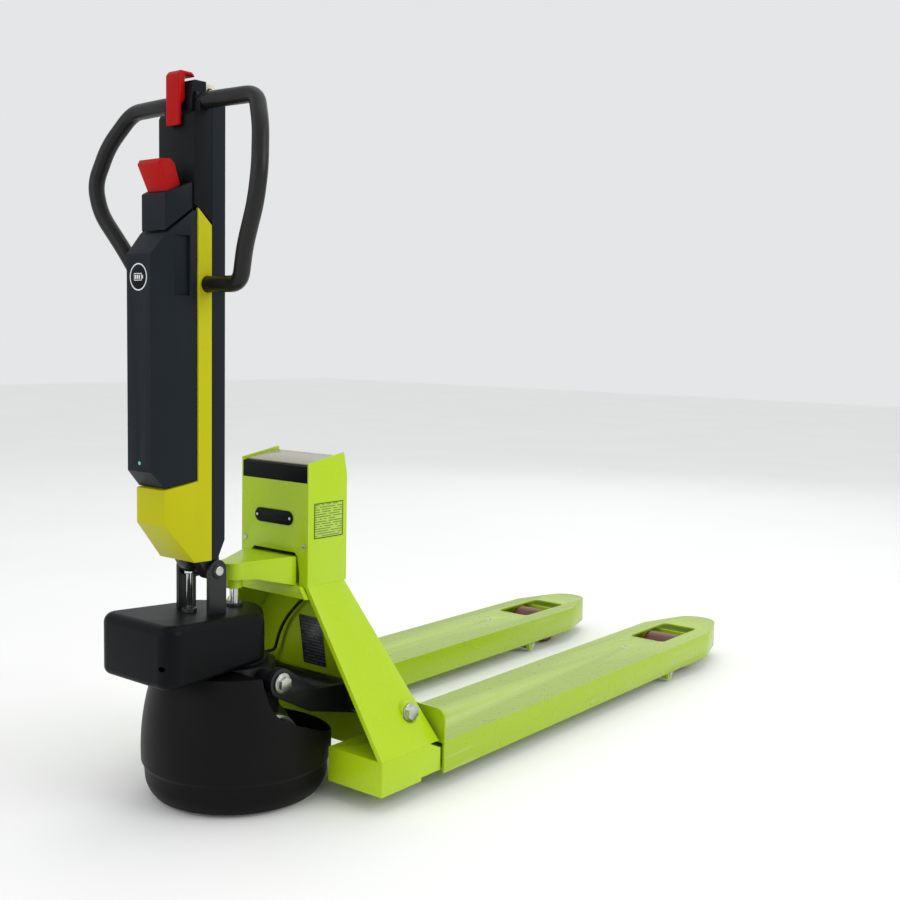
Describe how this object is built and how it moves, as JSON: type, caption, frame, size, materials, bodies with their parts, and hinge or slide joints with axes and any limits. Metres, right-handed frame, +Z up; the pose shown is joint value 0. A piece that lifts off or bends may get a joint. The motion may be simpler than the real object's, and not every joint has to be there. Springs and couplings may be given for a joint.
{
  "type": "electric pallet truck",
  "caption": "Low-lift electric pallet truck with a weighing indicator on its mast, steered drive unit, upright tiller with loop handles and a pair of forks on load rollers.",
  "frame": {"origin": "on the floor under the middle of the truck's overall length and width", "axes": "+Z up, +Y along the forks towards their tips, +X to the operator's right"},
  "size_m": [0.555, 1.6039, 1.182],
  "materials": {
    "lime_paint": "glossy powder coat",
    "cell_aluminium": "milled",
    "zinc_steel": "bright zinc plate",
    "chromed_steel": "ground and hard chromed",
    "black_plastic": "fine moulded texture",
    "window_film": "glossy keypad film",
    "board_green": "solder mask",
    "cable_rubber": "satin sheath",
    "label_film": "printed film",
    "dark_label": "printed film",
    "black_steel": "satin black paint",
    "grey_steel": "grey phosphate",
    "roller_polyurethane": "cast polyurethane, satin",
    "motor_aluminium": "turned",
    "drive_rubber": "worn satin",
    "slate_plastic": "fine moulded texture",
    "lime_plastic": "satin moulded",
    "badge_film": "printed film",
    "led_lens": "clear lens",
    "grip_coating": "satin sleeve over tube",
    "red_plastic": "satin moulded",
    "cream_plastic": "satin moulded"
  },
  "bodies": {
    "frame": {"fork_beam_right": "lime_paint", "fork_beam_left": "lime_paint", "side_arm_right": "lime_paint", "side_arm_left": "lime_paint", "cross_plate": "lime_paint", "mast_plate": "lime_paint", "lift_bracket": "lime_paint", "fork_shell_right": "lime_paint", "fork_shell_left": "lime_paint", "indicator_housing": "lime_paint", "load_cells": "cell_aluminium", "fork_screws": "zinc_steel", "indicator_unit": "black_plastic", "indicator_window": "window_film", "slot_cover": "black_plastic", "indicator_screws": "zinc_steel", "indicator_board": "board_green", "piston_rod": "chromed_steel", "axle_bolts": "zinc_steel", "frame_pins": "zinc_steel", "signal_cable": "cable_rubber", "data_label": "label_film", "mast_label": "dark_label"},
    "rocker": {"rocker": "black_steel"},
    "push_rod_right": {"push_rod_right": "grey_steel"},
    "push_rod_left": {"push_rod_left": "grey_steel"},
    "roller_frame_right": {"roller_frame_right": "grey_steel", "roller_axle_right": "zinc_steel"},
    "roller_frame_left": {"roller_frame_left": "grey_steel", "roller_axle_left": "zinc_steel"},
    "load_roller_right": {"load_roller_right": "roller_polyurethane"},
    "load_roller_left": {"load_roller_left": "roller_polyurethane"},
    "seat": {"seat_bearing": "black_steel", "skirt": "black_plastic", "seat_bolts": "zinc_steel"},
    "drive": {"pump_body": "black_steel", "wheel_fork": "black_steel", "drive_cover": "black_plastic", "tiller_bracket": "black_steel", "tiller_pin": "zinc_steel", "drive_axle": "zinc_steel", "axle_caps": "motor_aluminium"},
    "drive_wheel": {"hub_motor": "motor_aluminium", "drive_tyre": "drive_rubber"},
    "plunger": {"pump_plunger": "chromed_steel"},
    "pump_roller": {"pump_roller": "black_steel"},
    "tiller": {"tiller_base": "black_steel", "tiller_tube": "grey_steel", "column_back": "slate_plastic", "column_front": "lime_plastic", "head_housing": "slate_plastic", "control_dock": "slate_plastic", "battery_pack": "slate_plastic", "pack_badge": "badge_film", "pack_led": "led_lens", "loop_handle_right": "grip_coating", "loop_handle_left": "grip_coating"},
    "belly_button": {"belly_button": "red_plastic"},
    "speed_lever": {"speed_lever": "red_plastic"},
    "lift_rocker": {"lift_rocker": "cream_plastic"}
  },
  "joints": [
    {"name": "lift", "type": "slide", "parent": "frame", "child": "seat", "axis": [0, 0, -1], "range_m": [0, 0.115]},
    {"name": "steer", "type": "hinge", "parent": "seat", "child": "drive", "pos_m": [0, -0.592, 0.2], "axis": [0, 0, 1], "range_deg": [-75, 75]},
    {"name": "drive_wheel_spin", "type": "hinge", "parent": "drive", "child": "drive_wheel", "pos_m": [0, -0.592, 0.09], "axis": [1, 0, 0], "continuous": true},
    {"name": "tiller_tilt", "type": "hinge", "parent": "drive", "child": "tiller", "pos_m": [0, -0.663, 0.395], "axis": [1, 0, 0], "range_deg": [0, 66], "stiffness_Nm_per_rad": 32, "springref_deg": -22.92},
    {"name": "plunger_slide", "type": "slide", "parent": "drive", "child": "plunger", "axis": [0, 0, -1], "range_m": [0, 0.0299]},
    {"name": "pump_roller_spin", "type": "hinge", "parent": "tiller", "child": "pump_roller", "pos_m": [0, -0.68725, 0.409], "axis": [1, 0, 0], "continuous": true},
    {"name": "belly_switch", "type": "slide", "parent": "tiller", "child": "belly_button", "axis": [0, 0, -1], "range_m": [0, 0.006], "stiffness_N_per_m": 1200, "springref_m": -0.003},
    {"name": "speed_lever_tilt", "type": "hinge", "parent": "tiller", "child": "speed_lever", "pos_m": [0, -0.736, 0.97], "axis": [1, 0, 0], "range_deg": [-8, 8], "stiffness_Nm_per_rad": 4},
    {"name": "lift_rocker_tilt", "type": "hinge", "parent": "tiller", "child": "lift_rocker", "pos_m": [0, -0.661, 1.158], "axis": [1, 0, 0], "range_deg": [-10, 10], "stiffness_Nm_per_rad": 0.2},
    {"name": "rocker_swing", "type": "hinge", "parent": "frame", "child": "rocker", "pos_m": [0, -0.41, 0.142], "axis": [1, 0, 0], "range_deg": [0, 34.7]},
    {"name": "push_rod_slide_right", "type": "slide", "parent": "frame", "child": "push_rod_right", "axis": [0, 1, 0], "range_m": [0, 0.0492]},
    {"name": "roller_frame_swing_right", "type": "hinge", "parent": "frame", "child": "roller_frame_right", "pos_m": [0.1925, 0.49, 0.017], "axis": [1, 0, 0], "range_deg": [-63.3, 0]},
    {"name": "load_roller_spin_right", "type": "hinge", "parent": "roller_frame_right", "child": "load_roller_right", "pos_m": [0.1925, 0.605, 0.04], "axis": [1, 0, 0], "continuous": true},
    {"name": "push_rod_slide_left", "type": "slide", "parent": "frame", "child": "push_rod_left", "axis": [0, 1, 0], "range_m": [0, 0.0492]},
    {"name": "roller_frame_swing_left", "type": "hinge", "parent": "frame", "child": "roller_frame_left", "pos_m": [-0.1925, 0.49, 0.017], "axis": [1, 0, 0], "range_deg": [-63.3, 0]},
    {"name": "load_roller_spin_left", "type": "hinge", "parent": "roller_frame_left", "child": "load_roller_left", "pos_m": [-0.1925, 0.605, 0.04], "axis": [1, 0, 0], "continuous": true}
  ],
  "couplings": [
    {"joint": "rocker_swing", "follows": "lift", "rad_per_m": 5.2498},
    {"joint": "plunger_slide", "follows": "tiller_tilt", "m_per_rad": 0.02582},
    {"joint": "push_rod_slide_right", "follows": "lift", "ratio": 0.42409},
    {"joint": "roller_frame_swing_right", "follows": "lift", "rad_per_m": -9.5586},
    {"joint": "push_rod_slide_left", "follows": "lift", "ratio": 0.42409},
    {"joint": "roller_frame_swing_left", "follows": "lift", "rad_per_m": -9.5586}
  ]
}
